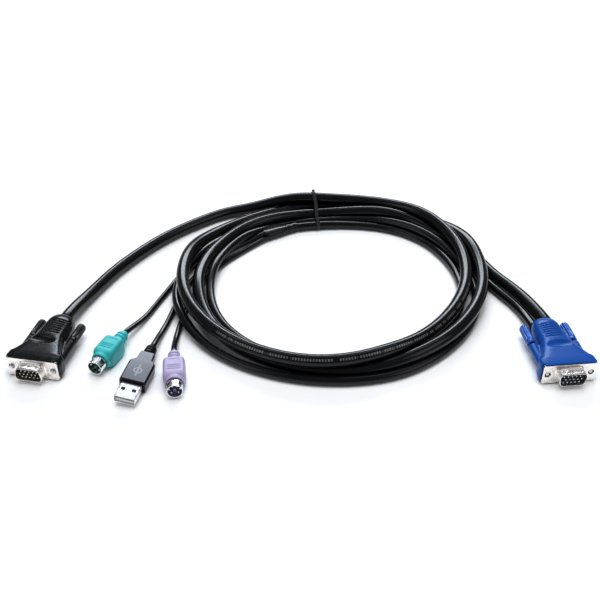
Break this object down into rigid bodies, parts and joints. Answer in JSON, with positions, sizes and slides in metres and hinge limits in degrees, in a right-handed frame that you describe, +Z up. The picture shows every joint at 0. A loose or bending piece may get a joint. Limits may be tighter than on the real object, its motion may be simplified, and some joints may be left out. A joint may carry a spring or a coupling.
{
  "type": "kvm cable",
  "caption": "Coiled and tied computer cable with a video plug at each end, and USB and round keyboard and mouse plugs branching at one end.",
  "frame": {"origin": "on the floor, under the middle of the five plugs' footprint", "axes": "+X to the right along the row of plugs, from the black video plug to the blue one; +Y from the plugs' mouths towards the coil; +Z up"},
  "size_m": [0.3333, 0.2272, 0.0218],
  "materials": {
    "black_pvc": "satin moulded vinyl",
    "blue_pvc": "satin moulded vinyl",
    "green_pvc": "satin moulded vinyl",
    "purple_pvc": "satin moulded vinyl",
    "nickel_plate": "bright nickel plate",
    "steel": "bright plated steel",
    "navy_insulator": "moulded",
    "dark_insulator": "moulded",
    "green_insulator": "moulded",
    "purple_insulator": "moulded",
    "white_tongue": "moulded",
    "plated_contact": "plated"
  },
  "bodies": {
    "cable": {"black_video_hood": "black_pvc", "black_video_front_shell": "nickel_plate", "black_video_rear_shell": "nickel_plate", "black_video_insulator": "dark_insulator", "black_video_pin_row_1": "nickel_plate", "black_video_pin_row_2": "nickel_plate", "black_video_pin_row_3": "nickel_plate", "blue_video_hood": "blue_pvc", "blue_video_front_shell": "nickel_plate", "blue_video_rear_shell": "nickel_plate", "blue_video_insulator": "navy_insulator", "blue_video_pin_row_1": "nickel_plate", "blue_video_pin_row_2": "nickel_plate", "blue_video_pin_row_3": "nickel_plate", "green_ps2_body": "green_pvc", "green_ps2_shell": "steel", "green_ps2_insulator": "green_insulator", "green_ps2_pin_1": "nickel_plate", "green_ps2_pin_2": "nickel_plate", "green_ps2_pin_3": "nickel_plate", "green_ps2_pin_4": "nickel_plate", "green_ps2_pin_5": "nickel_plate", "green_ps2_pin_6": "nickel_plate", "purple_ps2_body": "purple_pvc", "purple_ps2_shell": "steel", "purple_ps2_insulator": "purple_insulator", "purple_ps2_pin_1": "nickel_plate", "purple_ps2_pin_2": "nickel_plate", "purple_ps2_pin_3": "nickel_plate", "purple_ps2_pin_4": "nickel_plate", "purple_ps2_pin_5": "nickel_plate", "purple_ps2_pin_6": "nickel_plate", "usb_body": "black_pvc", "usb_shell": "steel", "usb_tongue": "white_tongue", "usb_contact_1": "plated_contact", "usb_contact_2": "plated_contact", "usb_contact_3": "plated_contact", "usb_contact_4": "plated_contact", "coil": "black_pvc", "twist_tie": "black_pvc", "video_cord_black_end": "black_pvc", "video_cord_blue_end": "black_pvc", "data_cord_blue_end": "black_pvc", "thin_cord_green": "black_pvc", "thin_cord_usb": "black_pvc", "thin_cord_purple": "black_pvc"},
    "black_thumbscrew_left": {"black_video_knob_left": "black_pvc", "black_video_screw_left": "steel"},
    "black_thumbscrew_right": {"black_video_knob_right": "black_pvc", "black_video_screw_right": "steel"},
    "blue_thumbscrew_left": {"blue_video_knob_left": "blue_pvc", "blue_video_screw_left": "steel"},
    "blue_thumbscrew_right": {"blue_video_knob_right": "blue_pvc", "blue_video_screw_right": "steel"}
  },
  "joints": [
    {"name": "black_thumbscrew_left_turn", "type": "hinge", "parent": "cable", "child": "black_thumbscrew_left", "pos_m": [-0.16348, -0.00788, 0.00695], "axis": [0.1857, 0.9826, 0], "continuous": true},
    {"name": "black_thumbscrew_right_turn", "type": "hinge", "parent": "cable", "child": "black_thumbscrew_right", "pos_m": [-0.13892, -0.01252, 0.00695], "axis": [0.1857, 0.9826, 0], "continuous": true},
    {"name": "blue_thumbscrew_left_turn", "type": "hinge", "parent": "cable", "child": "blue_thumbscrew_left", "pos_m": [0.13837, -0.01555, 0.00695], "axis": [-0.108, 0.9942, 0], "continuous": true},
    {"name": "blue_thumbscrew_right_turn", "type": "hinge", "parent": "cable", "child": "blue_thumbscrew_right", "pos_m": [0.16323, -0.01285, 0.00695], "axis": [-0.108, 0.9942, 0], "continuous": true}
  ]
}
